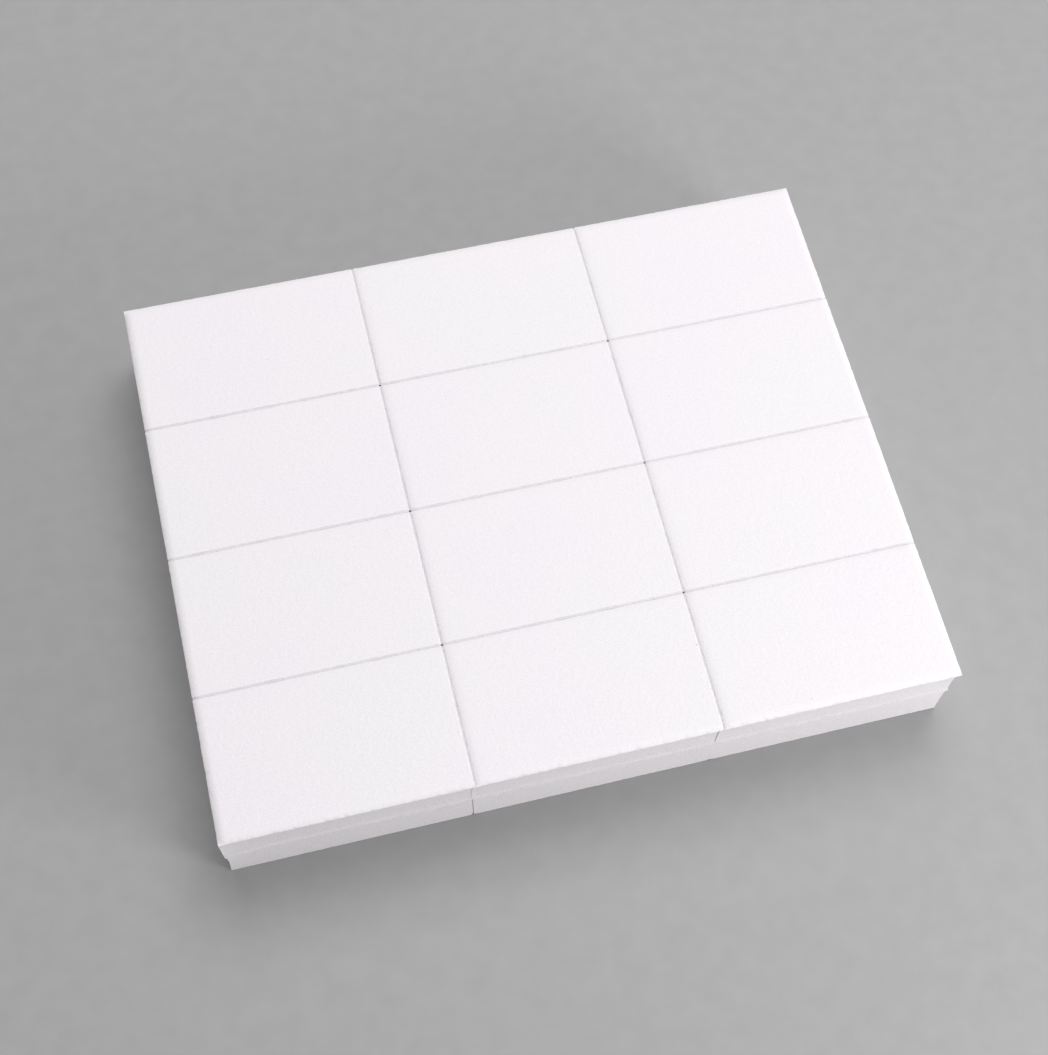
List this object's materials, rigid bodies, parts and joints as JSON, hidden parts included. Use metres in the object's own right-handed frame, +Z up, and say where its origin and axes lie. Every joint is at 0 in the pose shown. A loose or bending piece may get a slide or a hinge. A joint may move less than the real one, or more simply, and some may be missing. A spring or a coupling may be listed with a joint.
{
  "type": "nail buffer block sheet",
  "caption": "White foam slab scored into a grid of small nail buffer blocks, grit-coated on both big faces and joined by thin seams to snap apart.",
  "frame": {"origin": "centre of the bottom face, where the sheet lies on a table", "axes": "+X along the long side (columns, left to right), +Y along the short side (rows, front to back), +Z up out of the coarse face"},
  "size_m": [0.105, 0.0834, 0.0156],
  "materials": {
    "foam": "matte cut sponge foam",
    "coarse_grit": "matte coarse abrasive coat, granular",
    "fine_grit": "matte fine abrasive coat"
  },
  "bodies": {
    "block_r1c1": {"foam_core_r1c1": "foam", "coarse_face_r1c1": "coarse_grit", "fine_face_r1c1": "fine_grit", "seam_r1c1_r2c1": "foam"},
    "block_r1c2": {"foam_core_r1c2": "foam", "coarse_face_r1c2": "coarse_grit", "fine_face_r1c2": "fine_grit", "seam_r1c1_r1c2": "foam", "seam_r1c2_r1c3": "foam", "seam_r1c2_r2c2": "foam"},
    "block_r1c3": {"foam_core_r1c3": "foam", "coarse_face_r1c3": "coarse_grit", "fine_face_r1c3": "fine_grit", "seam_r1c3_r2c3": "foam"},
    "block_r2c1": {"foam_core_r2c1": "foam", "coarse_face_r2c1": "coarse_grit", "fine_face_r2c1": "fine_grit", "seam_r2c1_r3c1": "foam"},
    "block_r2c2": {"foam_core_r2c2": "foam", "coarse_face_r2c2": "coarse_grit", "fine_face_r2c2": "fine_grit", "seam_r2c1_r2c2": "foam", "seam_r2c2_r2c3": "foam", "seam_r2c2_r3c2": "foam"},
    "block_r2c3": {"foam_core_r2c3": "foam", "coarse_face_r2c3": "coarse_grit", "fine_face_r2c3": "fine_grit", "seam_r2c3_r3c3": "foam"},
    "block_r3c1": {"foam_core_r3c1": "foam", "coarse_face_r3c1": "coarse_grit", "fine_face_r3c1": "fine_grit", "seam_r3c1_r4c1": "foam"},
    "block_r3c2": {"foam_core_r3c2": "foam", "coarse_face_r3c2": "coarse_grit", "fine_face_r3c2": "fine_grit", "seam_r3c1_r3c2": "foam", "seam_r3c2_r3c3": "foam", "seam_r3c2_r4c2": "foam"},
    "block_r3c3": {"foam_core_r3c3": "foam", "coarse_face_r3c3": "coarse_grit", "fine_face_r3c3": "fine_grit", "seam_r3c3_r4c3": "foam"},
    "block_r4c1": {"foam_core_r4c1": "foam", "coarse_face_r4c1": "coarse_grit", "fine_face_r4c1": "fine_grit"},
    "block_r4c2": {"foam_core_r4c2": "foam", "coarse_face_r4c2": "coarse_grit", "fine_face_r4c2": "fine_grit", "seam_r4c1_r4c2": "foam", "seam_r4c2_r4c3": "foam"},
    "block_r4c3": {"foam_core_r4c3": "foam", "coarse_face_r4c3": "coarse_grit", "fine_face_r4c3": "fine_grit"}
  },
  "joints": [
    {"name": "row_fold_1_2", "type": "hinge", "parent": "block_r1c2", "child": "block_r2c2", "pos_m": [0, -0.0209, 0.0078], "axis": [1, 0, 0], "range_deg": [-1.5, 1.5], "stiffness_Nm_per_rad": 0.01, "deforming": ["seam_r1c1_r2c1", "seam_r1c2_r2c2", "seam_r1c3_r2c3"]},
    {"name": "row_fold_2_3", "type": "hinge", "parent": "block_r2c2", "child": "block_r3c2", "pos_m": [0, 0, 0.0078], "axis": [1, 0, 0], "range_deg": [-1.5, 1.5], "stiffness_Nm_per_rad": 0.01, "deforming": ["seam_r2c1_r3c1", "seam_r2c2_r3c2", "seam_r2c3_r3c3"]},
    {"name": "row_fold_3_4", "type": "hinge", "parent": "block_r3c2", "child": "block_r4c2", "pos_m": [0, 0.0209, 0.0078], "axis": [1, 0, 0], "range_deg": [-1.5, 1.5], "stiffness_Nm_per_rad": 0.01, "deforming": ["seam_r3c1_r4c1", "seam_r3c2_r4c2", "seam_r3c3_r4c3"]},
    {"name": "left_fold_row_1", "type": "hinge", "parent": "block_r1c2", "child": "block_r1c1", "pos_m": [-0.01755, -0.03135, 0.0078], "axis": [0, 1, 0], "range_deg": [-2, 2], "stiffness_Nm_per_rad": 0.01, "deforming": ["seam_r1c1_r1c2"]},
    {"name": "left_fold_row_2", "type": "hinge", "parent": "block_r2c2", "child": "block_r2c1", "pos_m": [-0.01755, -0.01045, 0.0078], "axis": [0, 1, 0], "range_deg": [-2, 2], "stiffness_Nm_per_rad": 0.01, "deforming": ["seam_r2c1_r2c2"]},
    {"name": "left_fold_row_3", "type": "hinge", "parent": "block_r3c2", "child": "block_r3c1", "pos_m": [-0.01755, 0.01045, 0.0078], "axis": [0, 1, 0], "range_deg": [-2, 2], "stiffness_Nm_per_rad": 0.01, "deforming": ["seam_r3c1_r3c2"]},
    {"name": "left_fold_row_4", "type": "hinge", "parent": "block_r4c2", "child": "block_r4c1", "pos_m": [-0.01755, 0.03135, 0.0078], "axis": [0, 1, 0], "range_deg": [-2, 2], "stiffness_Nm_per_rad": 0.01, "deforming": ["seam_r4c1_r4c2"]},
    {"name": "right_fold_row_1", "type": "hinge", "parent": "block_r1c2", "child": "block_r1c3", "pos_m": [0.01755, -0.03135, 0.0078], "axis": [0, 1, 0], "range_deg": [-2, 2], "stiffness_Nm_per_rad": 0.01, "deforming": ["seam_r1c2_r1c3"]},
    {"name": "right_fold_row_2", "type": "hinge", "parent": "block_r2c2", "child": "block_r2c3", "pos_m": [0.01755, -0.01045, 0.0078], "axis": [0, 1, 0], "range_deg": [-2, 2], "stiffness_Nm_per_rad": 0.01, "deforming": ["seam_r2c2_r2c3"]},
    {"name": "right_fold_row_3", "type": "hinge", "parent": "block_r3c2", "child": "block_r3c3", "pos_m": [0.01755, 0.01045, 0.0078], "axis": [0, 1, 0], "range_deg": [-2, 2], "stiffness_Nm_per_rad": 0.01, "deforming": ["seam_r3c2_r3c3"]},
    {"name": "right_fold_row_4", "type": "hinge", "parent": "block_r4c2", "child": "block_r4c3", "pos_m": [0.01755, 0.03135, 0.0078], "axis": [0, 1, 0], "range_deg": [-2, 2], "stiffness_Nm_per_rad": 0.01, "deforming": ["seam_r4c2_r4c3"]}
  ],
  "couplings": [
    {"joint": "left_fold_row_2", "follows": "left_fold_row_1", "ratio": 1},
    {"joint": "left_fold_row_3", "follows": "left_fold_row_1", "ratio": 1},
    {"joint": "left_fold_row_4", "follows": "left_fold_row_1", "ratio": 1},
    {"joint": "right_fold_row_2", "follows": "right_fold_row_1", "ratio": 1},
    {"joint": "right_fold_row_3", "follows": "right_fold_row_1", "ratio": 1},
    {"joint": "right_fold_row_4", "follows": "right_fold_row_1", "ratio": 1}
  ]
}
